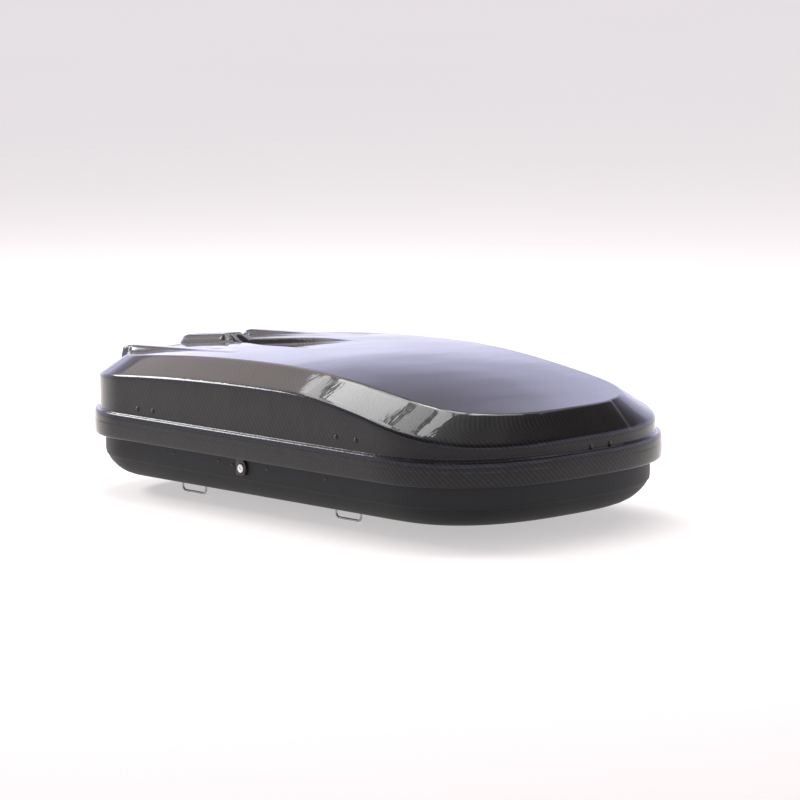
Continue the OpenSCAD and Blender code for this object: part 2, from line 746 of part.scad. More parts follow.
base_bracket(nose_strut_x, 1);  // nose_base_bracket
base_bracket(tail_strut_x, -1);  // tail_base_bracket
strut_cylinder(nose_strut_x);  // nose_strut_cylinder
strut_cylinder(tail_strut_x);  // tail_strut_cylinder
strut_rod(nose_strut_x);  // nose_strut_rod
strut_rod(tail_strut_x);  // tail_strut_rod
u_clamp(tail_bar_x, -clamp_y);  // clamp_tail_right
u_clamp(tail_bar_x, clamp_y);  // clamp_tail_left
u_clamp(nose_bar_x, -clamp_y);  // clamp_nose_right
u_clamp(nose_bar_x, clamp_y);  // clamp_nose_left
clamp_plate(tail_bar_x, -clamp_y);  // plate_tail_right
clamp_plate(tail_bar_x, clamp_y);  // plate_tail_left
clamp_plate(nose_bar_x, -clamp_y);  // plate_nose_right
clamp_plate(nose_bar_x, clamp_y);  // plate_nose_left
star_knob(tail_bar_x - leg_gap / 2, -clamp_y);  // knob_tail_right_1
star_knob(tail_bar_x + leg_gap / 2, -clamp_y);  // knob_tail_right_2
star_knob(tail_bar_x - leg_gap / 2, clamp_y);  // knob_tail_left_1
star_knob(tail_bar_x + leg_gap / 2, clamp_y);  // knob_tail_left_2
star_knob(nose_bar_x - leg_gap / 2, -clamp_y);  // knob_nose_right_1
star_knob(nose_bar_x + leg_gap / 2, -clamp_y);  // knob_nose_right_2
star_knob(nose_bar_x - leg_gap / 2, clamp_y);  // knob_nose_left_1
star_knob(nose_bar_x + leg_gap / 2, clamp_y);  // knob_nose_left_2
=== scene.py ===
import json
import math
import bpy
from mathutils import Matrix, Vector


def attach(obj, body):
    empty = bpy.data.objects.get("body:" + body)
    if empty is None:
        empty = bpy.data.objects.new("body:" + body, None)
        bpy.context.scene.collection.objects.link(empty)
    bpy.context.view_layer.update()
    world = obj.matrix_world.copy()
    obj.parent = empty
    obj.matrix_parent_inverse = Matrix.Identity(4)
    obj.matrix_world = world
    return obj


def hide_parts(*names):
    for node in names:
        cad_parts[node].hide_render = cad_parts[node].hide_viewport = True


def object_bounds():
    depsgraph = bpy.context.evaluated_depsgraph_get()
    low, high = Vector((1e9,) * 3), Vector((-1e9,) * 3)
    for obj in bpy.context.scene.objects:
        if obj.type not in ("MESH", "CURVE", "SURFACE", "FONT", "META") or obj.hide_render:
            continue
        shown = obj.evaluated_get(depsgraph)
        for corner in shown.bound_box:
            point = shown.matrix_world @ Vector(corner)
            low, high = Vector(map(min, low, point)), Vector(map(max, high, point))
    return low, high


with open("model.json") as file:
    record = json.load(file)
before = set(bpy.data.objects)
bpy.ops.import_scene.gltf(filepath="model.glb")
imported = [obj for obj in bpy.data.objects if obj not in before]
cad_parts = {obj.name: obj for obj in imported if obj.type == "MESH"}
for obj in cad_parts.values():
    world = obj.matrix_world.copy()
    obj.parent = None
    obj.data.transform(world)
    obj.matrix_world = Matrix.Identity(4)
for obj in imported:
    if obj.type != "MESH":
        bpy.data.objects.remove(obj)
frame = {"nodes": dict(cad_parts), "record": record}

cadBox = [list(corner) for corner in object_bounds()]
scene = bpy.context.scene
print("frame loaded with", len(frame["nodes"]), "pieces")


def mm(value):
    return value / 1000.0


def srgb(code):  # web colour to the linear values that Blender mixes in
    channels = [int(code[i:i + 2], 16) / 255.0 for i in (1, 3, 5)]
    return [c / 12.92 if c <= 0.04045 else ((c + 0.055) / 1.055) ** 2.4 for c in channels] + [1.0]


def addNode(tree, kind, settings, links={}):
    node = tree.nodes.new(kind)
    for name, value in settings.items():
        if isinstance(name, int) or name in node.inputs:
            node.inputs[name].default_value = value
        else:
            setattr(node, name, value)
    for name, source in links.items():
        tree.links.new(source, node.inputs[name])
    return node


def startMaterial(name, look):  # a shader with its own fixed values, ready for its pattern
    material = bpy.data.materials.new(name)
    material.use_nodes = True
    tree = material.node_tree
    shader = tree.nodes["Principled BSDF"]
    for socket, value in look.items():
        shader.inputs[socket].default_value = value
    return material, tree, shader


def waveScale(pitch):  # Wave texture scale that repeats every so many millimetres
    return 1000.0 / pitch / 20.0 * math.pi


def setBands(ramp, stops):  # colour stops as place and colour
    while len(ramp.color_ramp.elements) < len(stops):
        ramp.color_ramp.elements.new(0.5)
    for element, (place, colour) in zip(ramp.color_ramp.elements, stops):
        element.position = place
        element.color = colour


# materials
materials = {}


def carbonLookAbs():
    # thermoformed ABS sheet under a clear gloss film with a printed twill: near black, wet shine, and a fine
    # diagonal weave that shows where light falls on it. The real twill repeats every 2 mm, which is too fine
    # to show, so it is drawn at 5 mm
    look = {"Roughness": 0.34, "IOR": 1.5, "Specular IOR Level": 0.08, "Coat Weight": 1.0,
            "Coat Roughness": 0.045, "Coat IOR": 1.32}
    material, tree, shader = startMaterial("carbonLookAbs", look)
    flat = addNode(tree, "ShaderNodeUVMap", {"uv_map": "UVMap"})
    turned = addNode(tree, "ShaderNodeMapping", {"Rotation": (0, 0, math.radians(45))},
                     {"Vector": flat.outputs["UV"]})
    ribs = addNode(tree, "ShaderNodeTexWave", {"bands_direction": "X", "Scale": waveScale(5.0)},
                   {"Vector": turned.outputs["Vector"]})
    tows = addNode(tree, "ShaderNodeTexWave", {"bands_direction": "Y", "Scale": waveScale(10.0)},
                   {"Vector": turned.outputs["Vector"]})
    weave = addNode(tree, "ShaderNodeMath", {"operation": "MULTIPLY_ADD", 1: 0.22},
                    {0: tows.outputs["Fac"], 2: ribs.outputs["Fac"]})
    place = addNode(tree, "ShaderNodeTexCoord", {})
    cloud = addNode(tree, "ShaderNodeTexNoise", {"Scale": 3.0, "Detail": 3.0}, {"Vector": place.outputs["Object"]})
    tones = addNode(tree, "ShaderNodeValToRGB", {}, {"Fac": weave.outputs[0]})
    setBands(tones, [(0.2, srgb("#060606")), (1.0, srgb("#1b1919"))])
    uneven = addNode(tree, "ShaderNodeMix", {"data_type": "RGBA", "blend_type": "MULTIPLY", 0: 0.25},
                     {6: tones.outputs["Color"], 7: cloud.outputs["Color"]})
    tree.links.new(uneven.outputs[2], shader.inputs["Base Color"])
    # film over the sheet: shallow waves from the forming, about 60 mm apart along the box, drawn out across it
    # and calmer on the flat top
    drawn = addNode(tree, "ShaderNodeMapping", {"Scale": (1.0, 0.3, 0.22)}, {"Vector": place.outputs["Object"]})
    waves = addNode(tree, "ShaderNodeTexNoise", {"Scale": 16.0, "Detail": 4.0},
                    {"Vector": drawn.outputs["Vector"]})
    facing = addNode(tree, "ShaderNodeSeparateXYZ", {}, {"Vector": place.outputs["Normal"]})
    calmTop = addNode(tree, "ShaderNodeMapRange",
                      {"From Min": 0.8, "From Max": 0.95, "To Min": 1.0, "To Max": 0.3},
                      {"Value": facing.outputs["Z"]})
    swell = addNode(tree, "ShaderNodeMath", {"operation": "MULTIPLY"},
                    {0: waves.outputs["Fac"], 1: calmTop.outputs["Result"]})
    relief = addNode(tree, "ShaderNodeBump", {"Strength": 0.32, "Distance": mm(5)},
                     {"Height": swell.outputs[0]})
    tree.links.new(relief.outputs["Normal"], shader.inputs["Coat Normal"])
    grain = addNode(tree, "ShaderNodeBump", {"Strength": 0.12, "Distance": mm(0.3)},
                    {"Height": weave.outputs[0]})
    tree.links.new(grain.outputs["Normal"], shader.inputs["Normal"])
    return material


def blackAbs():
    # vacuum-formed ABS with a moulded leather grain: deep matte black with a broad soft shine. The real grain
    # is about 1 mm, drawn here at 3 mm
    look = {"Roughness": 0.5, "IOR": 1.5, "Specular IOR Level": 0.3}
    material, tree, shader = startMaterial("vacuumFormedAbs", look)
    place = addNode(tree, "ShaderNodeTexCoord", {})
    grain = addNode(tree, "ShaderNodeTexVoronoi", {"feature": "F1", "Scale": 1000.0 / 3.0},
                    {"Vector": place.outputs["Object"]})
    dust = addNode(tree, "ShaderNodeTexNoise", {"Scale": 9.0, "Detail": 6.0, "Roughness": 0.65},
                   {"Vector": place.outputs["Object"]})
    tones = addNode(tree, "ShaderNodeValToRGB", {}, {"Fac": dust.outputs["Fac"]})
    setBands(tones, [(0.35, srgb("#080808")), (0.7, srgb("#121213"))])
    tree.links.new(tones.outputs["Color"], shader.inputs["Base Color"])
    shine = addNode(tree, "ShaderNodeMapRange", {"To Min": 0.44, "To Max": 0.6},
                    {"Value": dust.outputs["Fac"]})
    tree.links.new(shine.outputs["Result"], shader.inputs["Roughness"])
    relief = addNode(tree, "ShaderNodeBump", {"Strength": 0.35, "Distance": mm(0.5)},
                     {"Height": grain.outputs["Distance"]})
    tree.links.new(relief.outputs["Normal"], shader.inputs["Normal"])
    return material


def sealRubber():
    # extruded EPDM: dull charcoal with a faint bloom
    material, tree, shader = startMaterial("extrudedEpdm", {"Roughness": 0.75, "IOR": 1.52})
    place = addNode(tree, "ShaderNodeTexCoord", {})
    bloom = addNode(tree, "ShaderNodeTexNoise", {"Scale": 30.0, "Detail": 5.0},
                    {"Vector": place.outputs["Object"]})
    tones = addNode(tree, "ShaderNodeValToRGB", {}, {"Fac": bloom.outputs["Fac"]})
    setBands(tones, [(0.35, srgb("#151515")), (0.75, srgb("#2a2a2a"))])
    tree.links.new(tones.outputs["Color"], shader.inputs["Base Color"])
    fine = addNode(tree, "ShaderNodeTexNoise", {"Scale": 900.0, "Detail": 2.0},
                   {"Vector": place.outputs["Object"]})
    relief = addNode(tree, "ShaderNodeBump", {"Strength": 0.2, "Distance": mm(0.3)},
                     {"Height": fine.outputs["Fac"]})
    tree.links.new(relief.outputs["Normal"], shader.inputs["Normal"])
    return material


def brushedMetal(name, low, high, rough, stretch):
    # the marks of drawing or rolling run along one axis and spread the shine across it
    material, tree, shader = startMaterial(name, {"Metallic": 1.0, "Roughness": rough})
    place = addNode(tree, "ShaderNodeTexCoord", {})
    drawn = addNode(tree, "ShaderNodeMapping", {"Scale": stretch}, {"Vector": place.outputs["Object"]})
    lines = addNode(tree, "ShaderNodeTexNoise", {"Scale": 400.0, "Detail": 4.0, "Roughness": 0.6},
                    {"Vector": drawn.outputs["Vector"]})
    patches = addNode(tree, "ShaderNodeTexNoise", {"Scale": 35.0, "Detail": 4.0},
                      {"Vector": place.outputs["Object"]})
    both = addNode(tree, "ShaderNodeMath", {"operation": "MULTIPLY_ADD", 1: 0.5},
                   {0: lines.outputs["Fac"], 2: patches.outputs["Fac"]})
    tones = addNode(tree, "ShaderNodeValToRGB", {}, {"Fac": both.outputs[0]})
    setBands(tones, [(0.45, srgb(low)), (1.0, srgb(high))])
    tree.links.new(tones.outputs["Color"], shader.inputs["Base Color"])
    shine = addNode(tree, "ShaderNodeMapRange", {"From Max": 1.5, "To Min": rough - 0.08, "To Max": rough + 0.12},
                    {"Value": both.outputs[0]})
    tree.links.new(shine.outputs["Result"], shader.inputs["Roughness"])
    relief = addNode(tree, "ShaderNodeBump", {"Strength": 0.15, "Distance": mm(0.1)},
                     {"Height": lines.outputs["Fac"]})
    tree.links.new(relief.outputs["Normal"], shader.inputs["Normal"])
    return material


def blackCoat(name, low, high, rough):
    # powder or dipped coat on steel, or moulded nylon: black with a slight orange peel
    material, tree, shader = startMaterial(name, {"Roughness": rough, "IOR": 1.5})
    place = addNode(tree, "ShaderNodeTexCoord", {})
    peel = addNode(tree, "ShaderNodeTexNoise", {"Scale": 420.0, "Detail": 2.0},
                   {"Vector": place.outputs["Object"]})
    patches = addNode(tree, "ShaderNodeTexNoise", {"Scale": 28.0, "Detail": 5.0},
                      {"Vector": place.outputs["Object"]})
    tones = addNode(tree, "ShaderNodeValToRGB", {}, {"Fac": patches.outputs["Fac"]})
    setBands(tones, [(0.3, srgb(low)), (0.75, srgb(high))])
    tree.links.new(tones.outputs["Color"], shader.inputs["Base Color"])
    relief = addNode(tree, "ShaderNodeBump", {"Strength": 0.25, "Distance": mm(0.2)},
                     {"Height": peel.outputs["Fac"]})
    tree.links.new(relief.outputs["Normal"], shader.inputs["Normal"])
    return material


materials["carbon_look_lid"] = carbonLookAbs()
materials["black_abs_base"] = blackAbs()
materials["seal_rubber"] = sealRubber()
materials["aluminium_rail"] = brushedMetal("extrudedAluminium", "#a9abae", "#d2d3d5", 0.34, (0.04, 1, 1))
materials["zinc_steel"] = brushedMetal("zincPlatedSteel", "#8f9292", "#c3c5c2", 0.3, (1, 1, 1))
materials["bright_lock"] = brushedMetal("nickelPlatedZinc", "#b4b3b1", "#dedddb", 0.2, (1, 1, 1))
materials["chromed_rod"] = brushedMetal("chromedSteel", "#c2c4c6", "#e6e7e8", 0.12, (1, 0.05, 1))
materials["black_steel"] = blackCoat("powderCoatedSteel", "#161616", "#262626", 0.42)
materials["black_screw"] = blackCoat("blackZincSteel", "#0d0d0e", "#1c1c1d", 0.3)
materials["black_nylon"] = blackCoat("mouldedNylon", "#0f0f10", "#1d1d1e", 0.38)
materials["strut_paint"] = blackCoat("satinPaintedTube", "#101011", "#191919", 0.28)

slotOf = {entry["node"]: entry["material_slot"] for entry in frame["record"]["subparts"]}
for node, piece in frame["nodes"].items():
    finish = materials[slotOf[node]]
    for place in piece.material_slots:
        place.material = finish
    if not piece.material_slots:
        piece.data.materials.append(finish)
print("materials made:", len(materials))


# shared shape
plan = {"length": 1500.0, "width": 830.0, "rimZ": 110.0, "noseRun": 335.0, "nosePower": 2.6,
        "tailRadius": 215.0, "tailBow": 8.0, "tailShare": 0.11, "cornerShare": 0.27, "sideShare": 0.56}
halfLength = plan["length"] / 2
halfWidth = plan["width"] / 2
rimZ = plan["rimZ"]


def planPoint(turn, tail, side, nose, radius):  # 0 is the middle of the tail, 0.5 the tip of the nose
    share = 2 * min(turn, 1 - turn)
    half = halfWidth - side
    back = tail - halfLength
    front = halfLength - nose
    bend = halfLength - plan["noseRun"]
    tailEnd, cornerEnd, sideEnd = plan["tailShare"], plan["cornerShare"], plan["sideShare"]
    if share < tailEnd:
        y = (half - radius) * share / tailEnd
        x = back - plan["tailBow"] * (1 - (y / (half - radius)) ** 2)
    elif share < cornerEnd:
        angle = math.radians(90) * (share - tailEnd) / (cornerEnd - tailEnd)
        x = back + radius - radius * math.cos(angle)
        y = half - radius + radius * math.sin(angle)
    elif share < sideEnd:
        x = back + radius + (bend - back - radius) * (share - cornerEnd) / (sideEnd - cornerEnd)
        y = half
    else:
        angle = math.radians(90) * (1 - ((1 - share) / (1 - sideEnd)) ** 1.3)  # closer together at the tip
        x = bend + (front - bend) * math.sin(angle) ** (2 / plan["nosePower"])
        y = half * max(math.cos(angle), 0.0) ** (2 / plan["nosePower"])
    return x, (y if turn <= 0.5 else -y)


def evenPoint(turn, inset):
    return planPoint(turn, inset + plan["tailBow"], inset, inset, plan["tailRadius"] - inset)


def ease(value, low, high):  # smooth step from 0 at low to 1 at high
    share = min(max((value - low) / (high - low), 0.0), 1.0)
    return share * share * (3 - 2 * share)


def wrapGrid(name, columns, rows, placeAt, flatAt):
    # a plain grid laid round the outline: columns go round it and rows go up it. Extrude and bevel can't follow
    # creases that rise, fall and taper together, so each point is put in its place by formula
    bpy.ops.object.select_all(action="DESELECT")
    bpy.ops.mesh.primitive_grid_add(x_subdivisions=columns, y_subdivisions=rows, size=1.0)
    piece = bpy.context.active_object
    piece.name = name
    for loop in piece.data.uv_layers.active.data:
        loop.uv = flatAt(round(loop.uv.x * columns), round(loop.uv.y * rows))
    for vertex in piece.data.vertices:
        vertex.co = placeAt(round((vertex.co.x + 0.5) * columns), round((vertex.co.y + 0.5) * rows))
    bpy.ops.object.mode_set(mode="EDIT")
    bpy.ops.mesh.select_all(action="SELECT")
    bpy.ops.mesh.remove_doubles(threshold=mm(0.02))
    bpy.ops.mesh.normals_make_consistent(inside=False)
    bpy.ops.object.mode_set(mode="OBJECT")
    return piece


def finishPiece(piece, body, slots, smooth):
    bpy.ops.object.select_all(action="DESELECT")
    piece.select_set(True)
    bpy.context.view_layer.objects.active = piece
    bpy.ops.object.shade_smooth_by_angle(angle=math.radians(smooth))
    if not piece.data.materials:
        for slot in slots:
            piece.data.materials.append(materials[slot])
    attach(piece, body)


def applyModifier(piece, kind, settings):
    bpy.context.view_layer.objects.active = piece
    modifier = piece.modifiers.new(kind.lower(), kind)
    for name, value in settings.items():
        setattr(modifier, name, value)
    bpy.ops.object.modifier_apply(modifier=modifier.name)


# lid
# heights stand above the rim's lower edge; the spine is the line that the top's columns run in to
lid = {"wallInset": 15.3, "creasePeak": 180.0, "creaseNose": 91.5, "creaseX": 82.0, "creaseFall": 6e-5,
       "panelPeak": 225.0, "panelNose": 131.5, "panelX": -15.0, "panelFall": 9.4e-5, "panelCrown": 8.1,
       "panelTail": 56.0, "panelSide": 113.0, "panelTip": 65.0, "panelRadius": 139.0,
       "creaseRunOn": 25.0, "panelRunOn": 220.0, "spineTail": -430.0, "spineNose": 330.0, "spineShare": 0.62,
       "creaseRadius": 9.0, "edgeRadius": 6.0, "wall": 3.4, "columns": 400,
       "bevelRows": 9, "filletRows": 6, "panelRows": 58}
# the rim band and ledge from below upwards, as inset and height
rimProfile = [(5.0, 0.0), (3.6, 0.4), (2.4, 2.0), (1.4, 5.5), (0.9, 10.0), (0.5, 17.0), (0.25, 25.0),
              (0.25, 33.0), (0.35, 36.5), (0.75, 38.0), (0.75, 39.5), (0.85, 45.0), (1.3, 51.0), (2.0, 56.0),
              (3.0, 59.3), (4.4, 61.6), (6.2, 62.9), (8.2, 63.2), (10.8, 62.6), (13.0, 62.6), (14.3, 63.6),
              (15.0, 65.2), (15.3, 67.5)]


def crest(x, peak, low, top, fall, run):  # height along the box: a slow fall to the tail, a wave down to the nose
    if x < top:
        return peak - fall * (x - top) ** 2
    return low + (peak - low) * (0.5 + 0.5 * math.cos(math.pi * min((x - top) / run, 1.0)))


def wallTop(x):
    run = halfLength - lid["creaseX"] + lid["creaseRunOn"]
    return crest(x, lid["creasePeak"], lid["creaseNose"], lid["creaseX"], lid["creaseFall"], run)


def panelHeight(x, y):
    across = min(abs(y) / (halfWidth - lid["panelSide"]), 1.0)
    run = halfLength - lid["panelX"] + lid["panelRunOn"]
    middle = crest(x, lid["panelPeak"], lid["panelNose"], lid["panelX"], lid["panelFall"], run)
    return middle + lid["panelCrown"] * (1 - across ** 2)


ribs = {"y": 204.0, "halfWidth": 17.0, "shoulder": 13.0, "rear": -735.0, "rearTop": -694.0,
        "front": -290.0, "rearZ": 180.0, "topZ": 202.0, "frontZ": 223.0}
hump = {"halfWidth": 25.0, "shoulder": 27.0, "rear": -728.0, "rearTop": -690.0, "frontTop": -548.0,
        "front": -506.0, "rearZ": 186.0, "topZ": 210.5, "frontZ": 225.5}
scoop = {"apex": -600.0, "wide": -320.0, "front": -110.0, "halfWidth": 90.0, "depth": 15.0, "wall": 22.0,
         "apexWidth": 6.0, "runOut": 90.0}
facet = {"start": 600.0, "x": 671.0, "halfWidth": 144.0, "spread": 0.217, "proud": 1.6}
softStep = {"inside": 4.0, "behind": 2.0, "ahead": 12.0}  # how far a rise blends past its own outline


def roundedEnd(x, rise):  # height of a rise over its rounded tail end
    back = (rise["rearTop"] - x) / (rise["rearTop"] - rise["rear"])
    return rise["rearZ"] + (rise["topZ"] - rise["rearZ"]) * math.sqrt(max(1 - back ** 2, 0))


def riseShare(x, offset, rise):  # how much of a rise stands here, from 0 beside it to 1 on it
    across = 1 - ease(offset, rise["halfWidth"] - softStep["inside"], rise["halfWidth"] + rise["shoulder"])
    return across * ease(x, rise["rear"] - softStep["behind"], rise["rear"] + softStep["ahead"])


def mouldedRise(x, y, plain):  # ribs, hump and scoop, as the change they make to the lid's height
    if x >= scoop["front"]:
        return 0.0
    rise = 0.0
    share = riseShare(x, abs(abs(y) - ribs["y"]), ribs)
    if share > 0 and x < ribs["front"]:
        if x < ribs["rearTop"]:
            top = roundedEnd(x, ribs)
        else:
            along = (x - ribs["rearTop"]) / (ribs["front"] - ribs["rearTop"])
            top = ribs["topZ"] + (ribs["frontZ"] - ribs["topZ"]) * along
        rise += max(top - plain, 0.0) * share
    share = riseShare(x, abs(y), hump)
    if share > 0 and x < hump["front"]:
        if x < hump["rearTop"]:
            top = roundedEnd(x, hump)
        elif x < hump["frontTop"]:
            along = (x - hump["rearTop"]) / (hump["frontTop"] - hump["rearTop"])
            top = hump["topZ"] + (hump["frontZ"] - hump["topZ"]) * along
        else:
            top = hump["frontZ"] - (hump["frontZ"] - plain) * ease(x, hump["frontTop"] - 4, hump["front"])
        rise += max(top - plain, 0.0) * share
    if scoop["apex"] < x:
        along = min((x - scoop["apex"]) / (scoop["wide"] - scoop["apex"]), 1.0)
        half = scoop["halfWidth"] * along + scoop["apexWidth"]
        floor = ease(x, scoop["apex"], scoop["apex"] + scoop["runOut"])
        floor *= 1 - ease(x, scoop["wide"] - scoop["runOut"], scoop["front"])
        rise -= scoop["depth"] * floor * (1 - ease(abs(y), half - scoop["wall"], half))
    return rise


def noseFacet(x, y):  # the front facet stands a little proud between two creases that spread downwards
    if x < facet["start"]:
        return 0.0
    edge = facet["halfWidth"] + (x - facet["x"]) * facet["spread"]
    return facet["proud"] * (1 - ease(abs(y), edge - 3, edge + 4))


def rounded(start, corner, end, share):  # a point along the soft curve that cuts a corner
    return start * (1 - share) ** 2 + corner * 2 * share * (1 - share) + end * share ** 2


bevelRows, filletRows, panelRows = lid["bevelRows"], lid["filletRows"], lid["panelRows"]
lidRows = len(rimProfile) + 1 + filletRows + bevelRows + filletRows + panelRows
wallRows = len(rimProfile) + 2  # up to here the mouldings leave the wall alone
facetRows = len(rimProfile) + filletRows + bevelRows + 3  # up to here the nose facet stands proud


def lidColumn(turn):  # one line of points from the rim's lower edge, over the creases, to the spine
    column = []
    for inset, z in rimProfile:
        x, y = evenPoint(turn, inset)
        column.append(Vector((x, y, z)))
    x, y = evenPoint(turn, lid["wallInset"])
    crease = Vector((x, y, wallTop(x)))
    edgeX, edgeY = planPoint(turn, lid["panelTail"], lid["panelSide"], lid["panelTip"], lid["panelRadius"])
    edge = Vector((edgeX, edgeY, panelHeight(edgeX, edgeY)))
    slope = (edge - crease).normalized()
    nearest = -lid["spineNose"] if edgeX < -lid["spineNose"] else min(edgeX, lid["spineNose"])
    inward = Vector((nearest, 0.0, 0.0)) - Vector((edgeX, edgeY, 0.0))
    inward.normalize()
    column.append(Vector((x, y, (rimProfile[-1][1] + crease.z) / 2)))
    start = crease - Vector((0, 0, lid["creaseRadius"]))
    end = crease + slope * lid["creaseRadius"]
    for i in range(filletRows):
        column.append(rounded(start, crease, end, i / (filletRows - 1)))
    near = edge - slope * lid["edgeRadius"]
    for i in range(1, bevelRows + 1):
        column.append(end.lerp(near, i / bevelRows))
    step = inward * lid["edgeRadius"]
    far = Vector((edge.x + step.x, edge.y + step.y, panelHeight(edge.x + step.x, edge.y + step.y)))
    for i in range(1, filletRows + 1):
        column.append(rounded(near, edge, far, i / filletRows))
    spineX = max(min(edgeX * lid["spineShare"], lid["spineNose"]), lid["spineTail"])
    for i in range(1, panelRows + 1):
        share = (i / panelRows) ** 1.05  # rows a little closer together at the edge
        x = far.x + (spineX - far.x) * share
        y = far.y - far.y * share
        column.append(Vector((x, y, panelHeight(x, y))))
    for index, point in enumerate(column):
        if index > wallRows:
            point.z += mouldedRise(point.x, point.y, point.z)
            if index < facetRows:
                point.z += noseFacet(point.x, point.y)
    return column


lidColumns = [lidColumn(i / lid["columns"]) for i in range(lid["columns"])]
lidColumns.append(lidColumns[0])
bandRow = 4  # the row along which the length round the box is measured
lidReach = [0.0]
for i in range(lid["columns"]):
    lidReach.append(lidReach[-1] + (lidColumns[i + 1][bandRow] - lidColumns[i][bandRow]).length)
lidClimb = [0.0]
for k in range(lidRows - 1):
    lidClimb.append(lidClimb[-1] + (lidColumns[0][k + 1] - lidColumns[0][k]).length)
panelStart = facetRows + 1


def lidFlat(column, row):  # weave along the outline on the walls, straight along the box on the panel
    if row > panelStart:
        point = lidColumns[column][row]
        return mm(point.x), mm(point.y)
    return mm(lidReach[column]), mm(lidClimb[row])


lidShell = wrapGrid("lidShell", lid["columns"], lidRows - 1,
                    lambda column, row: lidColumns[column][row] * 0.001 + Vector((0, 0, mm(rimZ))), lidFlat)
for slot in ("carbon_look_lid", "black_abs_base"):  # film outside, bare grained sheet inside
    lidShell.data.materials.append(materials[slot])
applyModifier(lidShell, "SOLIDIFY", {"thickness": mm(lid["wall"]), "offset": -1.0, "use_rim": True,
                                     "material_offset": 1, "material_offset_rim": 1})
finishPiece(lidShell, "lid", ["carbon_look_lid", "black_abs_base"], 75)
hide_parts("lid_shell")
print("lid shell made with", len(lidShell.data.polygons), "faces")


# base
base = {"columns": 300, "wall": 3.4, "floorZ": 4.0, "floorRows": 14,
        "spineTail": -430.0, "spineNose": 330.0, "spineShare": 0.6}
# the flange, wall and rounded foot from above downwards, as inset and height
trayProfile = [(7.0, 154.0), (7.0, 150.6), (24.0, 150.6), (27.0, 149.8), (28.0, 147.0), (28.0, 130.0),
               (28.0, 100.0), (28.0, 74.0), (28.3, 66.0), (29.2, 60.5), (29.6, 58.0), (31.6, 56.2),
               (35.0, 50.0), (39.5, 42.5), (45.0, 35.5), (51.0, 29.0), (58.0, 22.5), (66.0, 16.5),
               (75.0, 11.5), (85.0, 7.6), (95.0, 5.2), (105.0, 4.2), (114.0, base["floorZ"])]
floorRows = base["floorRows"]


def trayColumn(turn):  # one line of points from the flange down the wall and in over the floor
    column = []
    for inset, z in trayProfile:
        x, y = evenPoint(turn, inset)
        column.append(Vector((x, y, z)))
    rim = column[-1]
    spineX = max(min(rim.x * base["spineShare"], base["spineNose"]), base["spineTail"])
    spine = Vector((spineX, 0.0, base["floorZ"]))
    for i in range(1, floorRows + 1):
        column.append(rim.lerp(spine, i / floorRows))
    return column


trayColumns = [trayColumn(i / base["columns"]) for i in range(base["columns"])]
trayColumns.append(trayColumns[0])
trayRows = len(trayProfile) + floorRows
baseTray = wrapGrid("baseTray", base["columns"], trayRows - 1,
                    lambda column, row: trayColumns[column][row] * 0.001,
                    lambda column, row: (mm(column), mm(row)))
applyModifier(baseTray, "SOLIDIFY", {"thickness": mm(base["wall"]), "offset": -1.0, "use_rim": True})

# the clamps' slots, cut through the floor with a round-ended bar
slotCut = {"length": 198.0, "width": 8.0, "depth": 24.0, "z": 6.0, "y": 235.0, "x": (-430.0, 150.0), "round": 3.9}
for barX in slotCut["x"]:
    for side in (-1, 1):
        bpy.ops.object.select_all(action="DESELECT")
        bpy.ops.mesh.primitive_cube_add(size=1.0, location=(mm(barX), mm(side * slotCut["y"]), mm(slotCut["z"])),
                                        scale=(mm(slotCut["length"]), mm(slotCut["width"]), mm(slotCut["depth"])))
        cutter = bpy.context.active_object
        bpy.ops.object.transform_apply(location=True, rotation=True, scale=True)
        bpy.ops.object.mode_set(mode="EDIT")
        bpy.ops.mesh.select_mode(type="EDGE")
        bpy.ops.mesh.select_all(action="DESELECT")
        bpy.ops.object.mode_set(mode="OBJECT")
        for edge in cutter.data.edges:
            low, high = (cutter.data.vertices[k].co.z for k in edge.vertices)
            edge.select = abs(low - high) > mm(slotCut["depth"] / 2)
        bpy.ops.object.mode_set(mode="EDIT")
        bpy.ops.mesh.bevel(offset=mm(slotCut["round"]), segments=6, affect="EDGES")
        bpy.ops.object.mode_set(mode="OBJECT")
        applyModifier(baseTray, "BOOLEAN", {"operation": "DIFFERENCE", "solver": "EXACT", "object": cutter})
        bpy.data.objects.remove(cutter)
finishPiece(baseTray, "base", ["black_abs_base"], 40)
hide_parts("base_tray", "base_floor")
print("base tray made with", len(baseTray.data.polygons), "faces")


# fittings
# pressed, moulded and turned pieces get the small rounded edges that catch the light: width and number of steps
softEdges = {"knob": (1.4, 3), "plate": (0.5, 2), "escutcheon": (0.9, 3), "bracket": (0.5, 2),
             "catch": (0.5, 2), "rail": (0.4, 2), "screw": (0.7, 3)}


def softened(node, kind, body):
    width, segments = softEdges[kind]
    words = node.split("_")
    name = words[0] + "".join(word.capitalize() for word in words[1:])
    piece = bpy.data.objects.new(name, frame["nodes"][node].data.copy())
    scene.collection.objects.link(piece)
    bpy.ops.object.select_all(action="DESELECT")
    piece.select_set(True)
    bpy.context.view_layer.objects.active = piece
    bpy.ops.object.mode_set(mode="EDIT")
    bpy.ops.mesh.select_all(action="SELECT")
    bpy.ops.mesh.remove_doubles(threshold=mm(0.01))
    bpy.ops.mesh.dissolve_limited(angle_limit=math.radians(1.0))
    bpy.ops.object.mode_set(mode="OBJECT")
    applyModifier(piece, "BEVEL", {"width": mm(width), "segments": segments, "limit_method": "ANGLE",
                                   "angle_limit": math.radians(40), "miter_outer": "MITER_ARC"})
    piece.data.materials.clear()
    finishPiece(piece, body, [slotOf[node]], 45)
    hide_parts(node)


